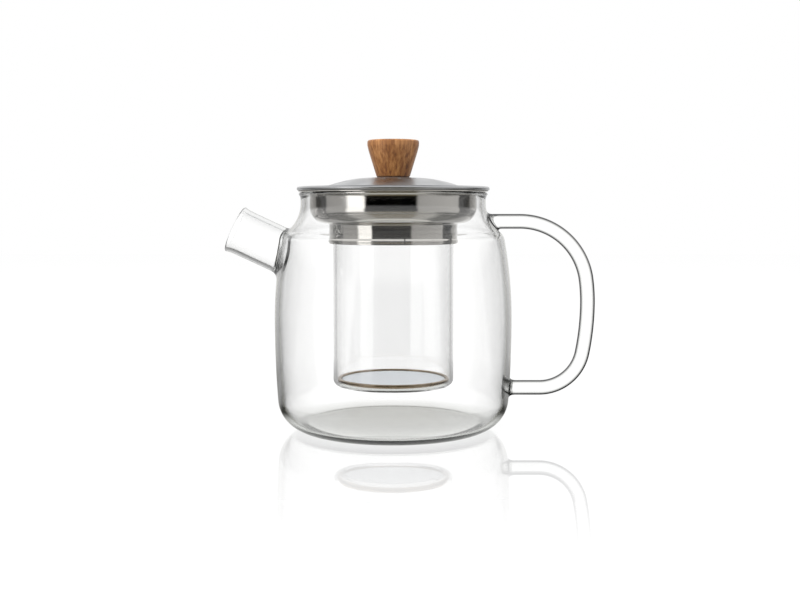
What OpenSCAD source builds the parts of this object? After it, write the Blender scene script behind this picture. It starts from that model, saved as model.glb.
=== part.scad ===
// Glass teapot with a lift-out infuser and a steel lid.
// +Z is up, and the origin is the centre of the flat base, on the pot's own axis.
// The spout points along -X and the handle along +X.

/* [Glass body] */
// Height of the glass lip above the base
glass_h = 108.9; // [104:0.1:116]
// Widest outside diameter
body_d = 109; // [106:0.5:114]
// Height of the widest point
belly_z = 50; // [46:1:54]
// Radius of the side in profile, below the widest point
low_side_r = 500; // [300:10:700]
// Radius of the side in profile, above the widest point
high_side_r = 200; // [180:10:300]
// Outside radius of the corner between base and side
corner_r = 15; // [10:0.5:18]
// Height of the centre of the shoulder's round
shoulder_z = 86; // [84:0.5:87]
// Radius of the shoulder's round
shoulder_r = 7; // [6:0.5:9]
// Radius of the hollow between shoulder and neck
neck_fillet_r = 16; // [12:0.5:17]
// Outside diameter of the neck
neck_d = 84.6; // [84:0.1:86]
// Outside diameter of the flared lip
lip_d = 86.4; // [86:0.1:88]
// Height of the flare below the lip
lip_h = 4.5; // [3:0.5:6]
// Thickness of the blown wall
wall_t = 1.8; // [1.5:0.1:1.9]
// Thickness of the base
base_t = 3; // [2:0.1:4]

/* [Spout] */
// Outside diameter of the spout's tube
spout_d = 21; // [16:0.5:22]
// Wall of the spout's tube
spout_t = 1.8; // [1.2:0.1:2.4]
// Rise of the spout above the level
spout_angle = 25; // [20:1:32]
// Distance from the pot's axis to the centre of the mouth
spout_reach = 72.8; // [68:0.2:80]
// Height of the centre of the mouth
spout_mouth_z = 92.4; // [88:0.2:96]
// Extra radius at the mouth's lip
spout_flare = 0.5; // [0.2:0.1:1]
// Radius of the weld round the spout's root
spout_weld_r = 2.6; // [1:0.1:3]

/* [Handle] */
// Diameter of the handle's glass rod
rod_d = 6.8; // [5:0.1:8]
// Distance from the pot's axis to the middle of the grip
handle_reach = 89.6; // [84:0.2:96]
// Height of the grip's middle
handle_mid_z = 58; // [54:1:62]
// Height of the top bar
handle_top_z = 95.8; // [92:0.2:97]
// Height of the bottom bar
handle_low_z = 18.9; // [16:0.1:24]
// Radius of the upper bend
upper_bend_r = 31; // [24:1:34]
// Radius of the lower bend
lower_bend_r = 20; // [14:1:26]
// Radius of the grip above its middle
upper_grip_r = 80; // [70:5:150]
// Radius of the grip below its middle
lower_grip_r = 120; // [90:5:200]
// Radius of the weld round each foot
foot_weld_r = 2.4; // [1:0.1:3]

/* [Infuser] */
// Diameter of the collar's flange
flange_d = 87; // [87:0.1:88]
// Outside diameter of the collar's bowl
bowl_d = 76.4; // [72:0.1:77]
// Height of the bowl's round bottom edge above the base
bowl_base_z = 94; // [92:0.5:96]
// Radius of the bowl's bottom edge
bowl_bend_r = 8; // [6:0.5:9]
// Outside radius under the flange
flange_root_r = 2.4; // [1.5:0.1:2.4]
// Outside diameter of the collar's skirt
skirt_d = 58.8; // [58:0.1:60]
// Height of the skirt's bottom edge above the base
skirt_base_z = 85.6; // [84:0.2:88]
// Thickness of the collar's sheet
collar_t = 0.6; // [0.4:0.1:0.7]
// Outside diameter of the infuser's glass tube
tube_d = 55.4; // [54:0.1:56]
// Wall of the infuser's glass tube
tube_t = 1.6; // [1.2:0.1:2]
// Height of the tube's bottom edge above the base
tube_base_z = 20.5; // [18:0.5:40]
// How far the tube's bottom edge turns inwards
tube_ledge = 3.4; // [2.5:0.1:5]
// Height of the mesh's steel ring
mesh_ring_h = 1.9; // [1.5:0.1:3]
// Radial width of the mesh's steel ring
mesh_ring_w = 1.8; // [1.2:0.1:2.5]
// Thickness of the woven mesh
mesh_t = 0.3; // [0.2:0.05:0.5]

/* [Lid] */
// Diameter over the curled brim
lid_d = 88; // [87.6:0.1:90]
// Diameter at the foot of the dome
dome_d = 62.6; // [58:0.2:68]
// Height of the dome above the brim
dome_h = 4.2; // [3:0.1:6]
// Diameter of the dome's flat top
dome_flat_d = 17; // [16.5:0.5:20]
// Diameter of the curled edge
curl_d = 1.8; // [1.4:0.1:2]
// Thickness of the lid's sheet
lid_t = 0.6; // [0.4:0.1:0.8]
// Diameter of a steam vent
vent_d = 1.8; // [1:0.1:2.5]
// Number of steam vents
vent_count = 3; // [1:1:5]
// Distance of the vents from the axis
vent_radius = 18; // [14:0.5:22]
// Angle between neighbouring vents
vent_step = 22.5; // [15:0.5:30]
// Turn of the row of vents away from the front
vent_turn = 9; // [-45:1:45]
// Depth of the centring ring below the brim
lid_ring_h = 5.5; // [4:0.5:8]

/* [Knob] */
// Height of the wooden knob
knob_h = 16.6; // [14:0.2:22]
// Largest diameter of the knob
knob_d = 23.6; // [20:0.2:28]
// Diameter of the knob's foot
knob_foot_d = 15.4; // [14:0.2:16.4]
// Height of the nearly upright band at the knob's top
knob_band_h = 3.6; // [2:0.2:6]
// Thickness of the washer under the knob
seal_t = 0.4; // [0.2:0.1:1]
// Thread diameter of the knob's screw
screw_d = 4; // [3:1:4]
// Diameter of the threaded insert
insert_d = 6; // [5.5:0.5:7]
// Length of the threaded insert
insert_len = 10; // [6:1:11]

/* [Hidden] */
$fn = 96;
arc_steps = 10;

// Clear air between pieces that only rest on each other
rest_gap = 0.1;
// Clear air round pieces that slide out
slide_gap = 0.3;
// Overlap of a cutting tool past the face it cuts
past = 1;

body_r = body_d / 2;
neck_r = neck_d / 2;
lip_r = lip_d / 2;
low_side_x = body_r - low_side_r;
high_side_x = body_r - high_side_r;
base_r = low_side_x + sqrt(pow(low_side_r - corner_r, 2) - pow(belly_z - corner_r, 2));
shoulder_x = high_side_x + sqrt(pow(high_side_r - shoulder_r, 2) - pow(shoulder_z - belly_z, 2));
fillet_x = neck_r + neck_fillet_r;
fillet_z = shoulder_z + sqrt(pow(shoulder_r + neck_fillet_r, 2) - pow(fillet_x - shoulder_x, 2));
low_angle = -atan2(belly_z - corner_r, base_r - low_side_x);
high_angle = atan2(shoulder_z - belly_z, shoulder_x - high_side_x);
hollow_angle = atan2(fillet_z - shoulder_z, fillet_x - shoulder_x);

spout_r = spout_d / 2;
spout_bore_r = spout_r - spout_t;
spout_len = 30;
spout_weld_z = 24.4;

rod_r = rod_d / 2;
rod_sides = 20;
foot_depth = 6;
top_foot_x = neck_r + 3;
low_foot_x = base_r + corner_r + 0.9;

flange_z = glass_h + rest_gap;
flange_r = flange_d / 2;
bowl_r = bowl_d / 2;
skirt_r = skirt_d / 2;
skirt_bore_r = skirt_r - collar_t;
bowl_bend_z = bowl_base_z + bowl_bend_r;
bowl_bend_x = bowl_r - bowl_bend_r;
bead_h = 3;
bead_t = 0.4;
bead_z = skirt_base_z + bead_h / 2 + 0.8;
notch_w = 0.5;
notch_turn = 10;

tube_r = tube_d / 2;
tube_bore_r = tube_r - tube_t;
tube_turn_r = 3;
gasket_flange_t = 0.8;
gasket_flange_r = bowl_bend_x;
shelf_z = bowl_base_z + collar_t;
tube_rim_z = shelf_z + gasket_flange_t;
tube_rim_h = 1.8;
tube_rim_r = gasket_flange_r;

mesh_ring_z = tube_base_z + tube_t + rest_gap;
mesh_ring_r = tube_bore_r - slide_gap;
mesh_ring_bore_r = mesh_ring_r - mesh_ring_w;
mesh_z = mesh_ring_z + mesh_ring_h / 2 - mesh_t / 2;
mesh_seat = 1.2;

lid_base_z = flange_z + collar_t + rest_gap;
brim_z = lid_base_z + curl_d;
lid_r = lid_d / 2;
dome_r = dome_d / 2;
dome_flat_r = dome_flat_d / 2;
dome_span = dome_r - dome_flat_r;
dome_arc_r = (pow(dome_span, 2) + pow(dome_h, 2)) / (2 * dome_h);
dome_top_z = brim_z + dome_h;
lid_ring_r = bowl_r - collar_t - 3.4;
lid_ring_flange = 1.8;

seal_r = knob_foot_d / 2 - 0.3;
knob_z = dome_top_z + seal_t;
knob_r = knob_d / 2;
knob_foot_r = knob_foot_d / 2;
knob_edge_r = 0.9;
screw_r = screw_d / 2;
screw_hole_r = screw_r + 0.2;
insert_r = insert_d / 2;
washer_r = 4.5;
washer_t = 0.8;
head_r = 3.5;
head_h = 2.2;
washer_z = dome_top_z - lid_t - washer_t;
head_z = washer_z - head_h;
screw_top_z = knob_z + insert_len - 0.5;
drive_w = 0.9;
drive_len = 4;
drive_depth = 1.2;

glass = [0.86, 0.9, 0.88, 0.35];
clear_glass = [0.9, 0.92, 0.92, 0.35];
polished_steel = [0.62, 0.61, 0.58];
satin_steel = [0.72, 0.71, 0.7];
mesh_grey = [0.55, 0.54, 0.52];
clear_silicone = [0.85, 0.85, 0.83];
dark_silicone = [0.16, 0.12, 0.1];
beech = [0.76, 0.48, 0.28];
brass = [0.78, 0.6, 0.3];

// Points on an arc about [x, z] from angle a to angle b
function arc(x, z, r, a, b, steps = arc_steps) =
    [for (i = [0:steps]) let (t = a + (b - a) * i / steps) [x + r * cos(t), z + r * sin(t)]];

// The body's side in profile, from base corner to neck, moved inwards by t
function side(t) = concat(
    arc(base_r, corner_r, corner_r - t, t == 0 ? -90 : -asin((corner_r - base_t) / (corner_r - t)), low_angle),
    arc(low_side_x, belly_z, low_side_r - t, low_angle, 0),
    arc(high_side_x, belly_z, high_side_r - t, 0, high_angle),
    arc(shoulder_x, shoulder_z, shoulder_r - t, high_angle, hollow_angle),
    arc(fillet_x, fillet_z, neck_fillet_r + t, hollow_angle + 180, 180)
);

// ---- Pot ----

module body_outside() {
    rotate_extrude()
        polygon(concat(
            [[0, 0]],
            side(0),
            [[neck_r, glass_h - lip_h]],
            arc(lip_r - wall_t / 2, glass_h - wall_t / 2, wall_t / 2, 0, 90),
            [[0, glass_h]]
        ));
}

module body_inside() {
    rotate_extrude()
        polygon(concat(
            [[0, base_t]],
            side(wall_t),
            [[neck_r - wall_t, glass_h - lip_h]],
            arc(lip_r - wall_t / 2, glass_h - wall_t / 2, wall_t / 2, 180, 90),
            [[lip_r - wall_t / 2, glass_h + past], [0, glass_h + past]]
        ));
}

// Local +Z runs from the centre of the spout's mouth down into the pot
module along_spout() {
    translate([-spout_reach, 0, spout_mouth_z])
        rotate([0, 90 + spout_angle, 0])
            children();
}

module spout_bore() {
    along_spout()
        translate([0, 0, -past])
            cylinder(r = spout_bore_r, h = spout_len + past);
}

module glass_body() {
    color(glass)
        difference() {
            body_outside();
            body_inside();
            spout_bore();
        }
}

module spout() {
    lip_t = spout_t / 2;
    flare_len = 4;
    color(glass)
        difference() {
            along_spout()
                rotate_extrude()
                    polygon(concat(
                        arc(spout_r + spout_flare - lip_t, lip_t, lip_t, 180, 360),
                        [[spout_r, flare_len]],
                        arc(spout_r + spout_weld_r, spout_weld_z, spout_weld_r, 180, 90),
                        [[spout_r + spout_weld_r, spout_len], [spout_bore_r, spout_len]],
                        [[spout_bore_r, flare_len]]
                    ));
            body_outside();
        }
}

// ---- Handle ----

// The rod's outline round [x, z], where t is the angle of its outer side above +X
function ring(x, z, r, t) =
    [for (i = [0:rod_sides - 1]) let (u = 360 * i / rod_sides)
        [x + r * cos(u) * cos(t), r * sin(u), z + r * cos(u) * sin(t)]];

// Rings round a bend of the rod about [x, z], from angle a to angle b
function bend(x, z, r, a, b, steps) =
    [for (i = [0:steps]) let (t = a + (b - a) * i / steps)
        ring(x + r * cos(t), z + r * sin(t), rod_r, t)];

// Rings of a flared foot on the bar at height z, from inside the wall outwards
function foot(wall_x, z, t) = concat(
    [ring(wall_x - foot_depth, z, rod_r + foot_weld_r, t)],
    [for (a = [0:15:90])
        ring(wall_x + foot_weld_r * (1 - cos(a)), z, rod_r + foot_weld_r * (1 - sin(a)), t)]
);

function reversed(list) = [for (i = [len(list) - 1:-1:0]) list[i]];

// A closed skin over a row of rings
module skin(rings) {
    last = len(rings) - 1;
    polyhedron(
        points = [for (r = rings) each r],
        faces = concat(
            [[for (i = [0:rod_sides - 1]) i]],
            [[for (i = [rod_sides - 1:-1:0]) last * rod_sides + i]],
            [for (k = [0:last - 1], i = [0:rod_sides - 1]) let (j = (i + 1) % rod_sides)
                [k * rod_sides + i, (k + 1) * rod_sides + i, (k + 1) * rod_sides + j, k * rod_sides + j]]
        )
    );
}

module handle() {
    upper_angle = asin((handle_top_z - handle_mid_z - upper_bend_r) / (upper_grip_r - upper_bend_r));
    lower_angle = asin((handle_mid_z - handle_low_z - lower_bend_r) / (lower_grip_r - lower_bend_r));
    upper_x = handle_reach - upper_grip_r + (upper_grip_r - upper_bend_r) * cos(upper_angle);
    lower_x = handle_reach - lower_grip_r + (lower_grip_r - lower_bend_r) * cos(lower_angle);
    color(glass)
        difference() {
            skin(concat(
                foot(top_foot_x, handle_top_z, 90),
                bend(upper_x, handle_top_z - upper_bend_r, upper_bend_r, 90, upper_angle, 14),
                bend(handle_reach - upper_grip_r, handle_mid_z, upper_grip_r, upper_angle - 2, 0, 3),
                bend(handle_reach - lower_grip_r, handle_mid_z, lower_grip_r, -2, -lower_angle + 2, 4),
                bend(lower_x, handle_low_z + lower_bend_r, lower_bend_r, -lower_angle, -90, 12),
                reversed(foot(low_foot_x, handle_low_z, -90))
            ));
            body_outside();
        }
}

// ---- Infuser ----

module infuser_collar() {
    root_x = bowl_r + flange_root_r;
    root_z = flange_z - flange_root_r;
    color(polished_steel)
        difference() {
            rotate_extrude()
                polygon(concat(
                    [[flange_r, flange_z]],
                    arc(root_x, root_z, flange_root_r, 90, 180),
                    arc(bowl_bend_x, bowl_bend_z, bowl_bend_r, 0, -90),
                    [[skirt_r, bowl_base_z], [skirt_r, bead_z + bead_h / 2]],
                    [[skirt_r + bead_t, bead_z + bead_h / 2 - bead_t]],
                    [[skirt_r + bead_t, bead_z - bead_h / 2 + bead_t]],
                    [[skirt_r, bead_z - bead_h / 2], [skirt_r, skirt_base_z]],
                    [[skirt_bore_r, skirt_base_z], [skirt_bore_r, shelf_z]],
                    arc(bowl_bend_x, bowl_bend_z, bowl_bend_r - collar_t, -90, 0),
                    arc(root_x, root_z, flange_root_r + collar_t, 180, 90),
                    [[flange_r, flange_z + collar_t]]
                ));
            rotate([0, 0, notch_turn])
                translate([-notch_w / 2, -skirt_r - bead_t - past, bead_z - bead_h / 2])
                    cube([notch_w, bead_t + past + 0.2, bead_h]);
        }
}

module tube_gasket() {
    color(clear_silicone)
        rotate_extrude()
            polygon([
                [tube_r, skirt_base_z + 0.4],
                [skirt_bore_r, skirt_base_z + 0.4],
                [skirt_bore_r, shelf_z],
                [gasket_flange_r, shelf_z],
                [gasket_flange_r, tube_rim_z],
                [tube_r, tube_rim_z]
            ]);
}

module infuser_glass() {
    ledge_r = tube_bore_r - tube_ledge;
    turn_x = tube_r - tube_turn_r;
    turn_z = tube_base_z + tube_turn_r;
    color(clear_glass)
        rotate_extrude()
            polygon(concat(
                [[turn_x, tube_base_z]],
                arc(turn_x, turn_z, tube_turn_r, -90, 0),
                [[tube_r, tube_rim_z], [tube_rim_r - 0.5, tube_rim_z]],
                arc(tube_rim_r - 0.5, tube_rim_z + 0.5, 0.5, -90, 0, 4),
                arc(tube_rim_r - 0.9, tube_rim_z + tube_rim_h - 0.9, 0.9, 0, 90, 6),
                [[tube_bore_r + 0.6, tube_rim_z + tube_rim_h]],
                [[tube_bore_r, tube_rim_z + tube_rim_h - 0.6], [tube_bore_r, turn_z]],
                arc(turn_x, turn_z, tube_turn_r - tube_t, 0, -90),
                arc(ledge_r + tube_t / 2, tube_base_z + tube_t / 2, tube_t / 2, 90, 270)
            ));
}

module mesh_ring() {
    edge = 0.3;
    turn = tube_turn_r - tube_t - 0.2;
    color(mesh_grey)
        difference() {
            translate([0, 0, mesh_ring_z])
                rotate_extrude()
                    polygon(concat(
                        [[mesh_ring_bore_r + edge, 0]],
                        arc(mesh_ring_r - turn, turn, turn, -90, 0, 6),
                        [[mesh_ring_r, mesh_ring_h - edge], [mesh_ring_r - edge, mesh_ring_h]],
                        [[mesh_ring_bore_r + edge, mesh_ring_h]],
                        [[mesh_ring_bore_r, mesh_ring_h - edge], [mesh_ring_bore_r, edge]]
                    ));
            mesh_disc();
        }
}

module mesh_disc() {
    color(mesh_grey)
        translate([0, 0, mesh_z])
            cylinder(r = mesh_ring_bore_r + mesh_seat, h = mesh_t);
}

// ---- Lid ----

module lid() {
    curl_r = curl_d / 2;
    curl_x = lid_r - curl_r;
    curl_z = lid_base_z + curl_r;
    dome_angle = acos(dome_span / dome_arc_r);
    arc_z = dome_top_z - dome_arc_r;
    color(satin_steel)
        difference() {
            rotate_extrude()
                polygon(concat(
                    [[0, dome_top_z]],
                    arc(dome_flat_r, arc_z, dome_arc_r, 90, dome_angle),
                    arc(curl_x, curl_z, curl_r, 90, -180, 20),
                    [[curl_x - curl_r, brim_z - lid_t], [dome_r, brim_z - lid_t]],
                    arc(dome_flat_r, arc_z, dome_arc_r - lid_t, dome_angle, 90),
                    [[0, dome_top_z - lid_t]]
                ));
            translate([0, 0, dome_top_z - lid_t - past])
                cylinder(r = screw_hole_r, h = lid_t + 2 * past);
            for (i = [0:vent_count - 1])
                rotate([0, 0, vent_turn + vent_step * (i - (vent_count - 1) / 2)])
                    translate([0, -vent_radius, brim_z])
                        cylinder(r = vent_d / 2, h = dome_h + past);
        }
}

module lid_ring() {
    color(satin_steel)
        rotate_extrude()
            polygon([
                [lid_ring_r, brim_z - lid_t],
                [lid_ring_r - lid_ring_flange, brim_z - lid_t],
                [lid_ring_r - lid_ring_flange, brim_z - 2 * lid_t],
                [lid_ring_r - lid_t, brim_z - 2 * lid_t],
                [lid_ring_r - lid_t, brim_z - lid_t - lid_ring_h],
                [lid_ring_r, brim_z - lid_t - lid_ring_h]
            ]);
}

module knob() {
    color(beech)
        translate([0, 0, knob_z])
            difference() {
                rotate_extrude()
                    polygon(concat(
                        [[0, 0], [knob_foot_r - 0.3, 0], [knob_foot_r, 0.3]],
                        [[knob_r - 0.2, knob_h - knob_band_h]],
                        arc(knob_r - knob_edge_r, knob_h - knob_edge_r, knob_edge_r, 0, 90, 6),
                        [[0, knob_h]]
                    ));
                translate([0, 0, -past])
                    cylinder(r = insert_r, h = insert_len + past);
            }
}

module knob_seal() {
    color(dark_silicone)
        translate([0, 0, dome_top_z])
            difference() {
                cylinder(r = seal_r, h = seal_t);
                translate([0, 0, -past])
                    cylinder(r = screw_hole_r, h = seal_t + 2 * past);
            }
}

module knob_insert() {
    color(brass)
        translate([0, 0, knob_z])
            difference() {
                cylinder(r = insert_r, h = insert_len);
                translate([0, 0, -past])
                    cylinder(r = screw_r, h = insert_len + 2 * past);
            }
}

module knob_screw() {
    color(satin_steel)
        difference() {
            union() {
                translate([0, 0, head_z])
                    rotate_extrude()
                        polygon(concat(
                            [[0, 0]],
                            arc(head_r - 1, 1, 1, -90, 0, 6),
                            [[head_r, head_h], [0, head_h]]
                        ));
                translate([0, 0, washer_z])
                    cylinder(r = screw_r, h = screw_top_z - washer_z);
            }
            for (turn = [0, 90])
                rotate([0, 0, turn])
                    translate([-drive_len / 2, -drive_w / 2, head_z - past])
                        cube([drive_len, drive_w, drive_depth + past]);
        }
}

module screw_washer() {
    color(satin_steel)
        translate([0, 0, washer_z])
            difference() {
                cylinder(r = washer_r, h = washer_t);
                translate([0, 0, -past])
                    cylinder(r = screw_hole_r, h = washer_t + 2 * past);
            }
}

glass_body();
spout();
handle();
infuser_collar();
tube_gasket();
infuser_glass();
mesh_ring();
mesh_disc();
lid();
lid_ring();
knob();
knob_seal();
knob_insert();
knob_screw();
screw_washer();
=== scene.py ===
"""Glass teapot with a lift-out infuser and a steel lid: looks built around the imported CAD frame.

Lengths in the pieces' constants and profiles are millimetres, and meshes are scaled to metres as they
are made. Lengths in the materials and on the stage are metres.
Profiles are lists of (radius, height) about the pot's own axis, +Z up, spout towards -X, handle towards +X.
"""

import math

import bmesh
import bpy
import numpy as np
from mathutils import Matrix, Vector


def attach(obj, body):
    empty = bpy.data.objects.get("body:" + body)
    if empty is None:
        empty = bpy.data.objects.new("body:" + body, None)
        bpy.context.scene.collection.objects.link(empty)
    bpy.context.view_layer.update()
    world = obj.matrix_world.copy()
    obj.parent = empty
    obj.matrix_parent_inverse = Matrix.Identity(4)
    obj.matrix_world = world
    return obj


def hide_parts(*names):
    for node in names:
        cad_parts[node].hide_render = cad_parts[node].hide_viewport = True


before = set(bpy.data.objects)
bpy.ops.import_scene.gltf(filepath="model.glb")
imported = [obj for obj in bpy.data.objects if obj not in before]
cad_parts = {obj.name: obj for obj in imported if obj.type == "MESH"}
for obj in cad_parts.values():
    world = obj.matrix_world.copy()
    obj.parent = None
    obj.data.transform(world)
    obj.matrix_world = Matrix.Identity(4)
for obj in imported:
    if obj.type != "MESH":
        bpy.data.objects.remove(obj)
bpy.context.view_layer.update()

MM = 0.001
# Segments round a turned piece, unless it gives its own
FINE = 256
# Gap between the body's wall and what is welded to it
GAP = 0.02

# ---- Sizes of the pieces ----

GLASS_H, WALL_T, BASE_T = 108.9, 1.8, 3.0
BODY_R, BELLY_Z = 54.5, 50.0
LOW_SIDE_R, HIGH_SIDE_R, CORNER_R = 500.0, 200.0, 15.0
SHOULDER_Z, SHOULDER_R = 86.0, 7.0
NECK_R, NECK_FILLET_R = 42.3, 16.0
LIP_R, LIP_H = 43.2, 4.5

SPOUT_R, SPOUT_BORE_R, SPOUT_ANGLE = 10.5, 8.7, 25.0
SPOUT_MOUTH = Vector((-72.8, 0.0, 92.4))
SPOUT_FLARE, SPOUT_FLARE_LEN = 0.5, 4.0
SPOUT_WELD, SPOUT_WELD_LEAN = 2.3, 0.8

ROD_R = 3.4
HANDLE_REACH, HANDLE_MID_Z, HANDLE_TOP_Z, HANDLE_LOW_Z = 89.6, 58.0, 95.8, 18.9
UPPER_BEND_R, LOWER_BEND_R, UPPER_GRIP_R, LOWER_GRIP_R = 31.0, 20.0, 80.0, 120.0
HANDLE_TOP_WELD, HANDLE_LOW_WELD = 1.9, 2.4

FLANGE_Z, FLANGE_R, FLANGE_ROOT_R = 109.0, 43.5, 2.4
BOWL_R, BOWL_BASE_Z, BOWL_BEND_R = 38.2, 94.0, 8.0
SKIRT_R, SKIRT_BASE_Z, COLLAR_T = 29.4, 85.6, 0.6
BEAD_Z, BEAD_H, BEAD_T = 87.9, 3.0, 0.4
NOTCH_W, NOTCH_TURN = 0.5, 10.0
TUBE_R, TUBE_T, TUBE_BASE_Z, TUBE_TURN_R, TUBE_LEDGE = 27.7, 1.6, 20.5, 3.0, 3.4
GASKET_T = 0.8
MESH_RING_H, MESH_RING_W = 1.9, 1.8
MESH_PITCH, WIRE_R = 0.84, 0.14

LID_R, CURL_R, LID_T = 44.0, 0.9, 0.6
LID_BASE_Z, BRIM_Z = 109.7, 111.5
DOME_R, DOME_H, DOME_FLAT_R = 31.3, 4.2, 8.5
VENT_R, VENT_RADIUS, VENT_STEP, VENT_TURN = 0.9, 18.0, 22.5, 9.0
LID_RING_R, LID_RING_H, LID_RING_FLANGE = 34.2, 5.5, 1.8

KNOB_H, KNOB_R, KNOB_FOOT_R, KNOB_BAND_H, KNOB_EDGE_R = 16.6, 11.8, 7.7, 3.6, 0.9
SEAL_R, SEAL_T = 7.4, 0.4
SCREW_R, INSERT_R, INSERT_LEN = 2.0, 3.0, 10.0
HEAD_R, HEAD_H, WASHER_R, WASHER_T = 3.5, 2.2, 4.5, 0.8

NECK_BORE_R = NECK_R - WALL_T
LOW_SIDE_X = BODY_R - LOW_SIDE_R
HIGH_SIDE_X = BODY_R - HIGH_SIDE_R
BASE_R = LOW_SIDE_X + math.sqrt((LOW_SIDE_R - CORNER_R) ** 2 - (BELLY_Z - CORNER_R) ** 2)
SHOULDER_X = HIGH_SIDE_X + math.sqrt((HIGH_SIDE_R - SHOULDER_R) ** 2 - (SHOULDER_Z - BELLY_Z) ** 2)
FILLET_X = NECK_R + NECK_FILLET_R
FILLET_Z = SHOULDER_Z + math.sqrt((SHOULDER_R + NECK_FILLET_R) ** 2 - (FILLET_X - SHOULDER_X) ** 2)
LOW_ANGLE = -math.degrees(math.atan2(BELLY_Z - CORNER_R, BASE_R - LOW_SIDE_X))
HIGH_ANGLE = math.degrees(math.atan2(SHOULDER_Z - BELLY_Z, SHOULDER_X - HIGH_SIDE_X))
HOLLOW_ANGLE = math.degrees(math.atan2(FILLET_Z - SHOULDER_Z, FILLET_X - SHOULDER_X))

SKIRT_BORE_R = SKIRT_R - COLLAR_T
BOWL_BEND_X, BOWL_BEND_Z = BOWL_R - BOWL_BEND_R, BOWL_BASE_Z + BOWL_BEND_R
SHELF_Z = BOWL_BASE_Z + COLLAR_T
TUBE_RIM_Z, TUBE_RIM_H, TUBE_RIM_R = SHELF_Z + GASKET_T, 1.8, BOWL_BEND_X
TUBE_BORE_R = TUBE_R - TUBE_T
MESH_RING_Z = TUBE_BASE_Z + TUBE_T + 0.1
MESH_RING_R = TUBE_BORE_R - 0.3
MESH_RING_BORE_R = MESH_RING_R - MESH_RING_W
MESH_Z = MESH_RING_Z + MESH_RING_H / 2

DOME_TOP_Z = BRIM_Z + DOME_H
DOME_SPAN = DOME_R - DOME_FLAT_R
DOME_ARC_R = (DOME_SPAN**2 + DOME_H**2) / (2 * DOME_H)
DOME_ANGLE = math.degrees(math.acos(DOME_SPAN / DOME_ARC_R))
DOME_ARC_Z = DOME_TOP_Z - DOME_ARC_R
KNOB_Z = DOME_TOP_Z + SEAL_T
WASHER_Z = DOME_TOP_Z - LID_T - WASHER_T
HEAD_Z = WASHER_Z - HEAD_H


# ---- Mesh tools ----


def arc(x, z, r, a, b, steps=12):
    """Points on an arc about (x, z) from angle a to angle b, in degrees."""
    angles = [math.radians(a + (b - a) * i / steps) for i in range(steps + 1)]
    return [(x + r * math.cos(t), z + r * math.sin(t)) for t in angles]


def joined(*parts):
    """One chain of points, without points that repeat."""
    chain = []
    for part in parts:
        for p in part:
            if not chain or math.dist(p, chain[-1]) > 1e-5:
                chain.append(p)
    return chain


def chain_normals(chain):
    """Outward normals of a chain whose solid lies on its left, smooth along the chain."""
    pts = np.array(chain)
    step = pts[1:] - pts[:-1]
    tangents = np.zeros_like(pts)
    tangents[:-1] += step
    tangents[1:] += step
    for end in (0, -1):
        if abs(pts[end][0]) < 1e-9 and abs(step[end][1]) < 0.2 * abs(step[end][0]):
            tangents[end][1] = 0.0
    tangents /= np.linalg.norm(tangents, axis=1)[:, None]
    return np.stack([tangents[:, 1], -tangents[:, 0]], 1)


def lathe_mesh(name, outline, segments):
    """A closed mesh of revolution from a closed outline of (radius, height)."""
    ring_of, verts, faces = [], [], []
    for r, z in outline:
        if r < 1e-6:
            ring_of.append([len(verts)] * segments)
            verts.append((0.0, 0.0, z * MM))
            continue
        ring_of.append(list(range(len(verts), len(verts) + segments)))
        for j in range(segments):
            t = 2 * math.pi * j / segments
            verts.append((r * math.cos(t) * MM, r * math.sin(t) * MM, z * MM))
    count = len(outline)
    for i in range(count):
        a, b = ring_of[i], ring_of[(i + 1) % count]
        if a[0] == a[1] and b[0] == b[1]:
            continue
        for j in range(segments):
            k = (j + 1) % segments
            face = []
            for v in (a[j], a[k], b[k], b[j]):
                if v not in face:
                    face.append(v)
            faces.append(face)
    mesh = bpy.data.meshes.new(name)
    mesh.from_pydata(verts, [], faces)
    return mesh


def new_object(name, data):
    """An object for a mesh, lamp or camera, linked to the scene."""
    obj = bpy.data.objects.new(name, data)
    bpy.context.scene.collection.objects.link(obj)
    return obj


def cut(obj, cutters):
    """Cuts the cutters out of obj and removes them."""
    for cutter in cutters:
        tool = obj.modifiers.new("cut", "BOOLEAN")
        tool.operation = "DIFFERENCE"
        tool.solver = "EXACT"
        tool.object = cutter
    graph = bpy.context.evaluated_depsgraph_get()
    mesh = bpy.data.meshes.new_from_object(obj.evaluated_get(graph))
    obj.modifiers.clear()
    obj.data = mesh
    for cutter in cutters:
        bpy.data.objects.remove(cutter)


def smooth_by_angle(obj, angle=35):
    """Smooth shading, with a sharp edge wherever faces meet at more than the angle."""
    obj.data.polygons.foreach_set("use_smooth", [True] * len(obj.data.polygons))
    obj.data.set_sharp_from_angle(angle=math.radians(angle))


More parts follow.
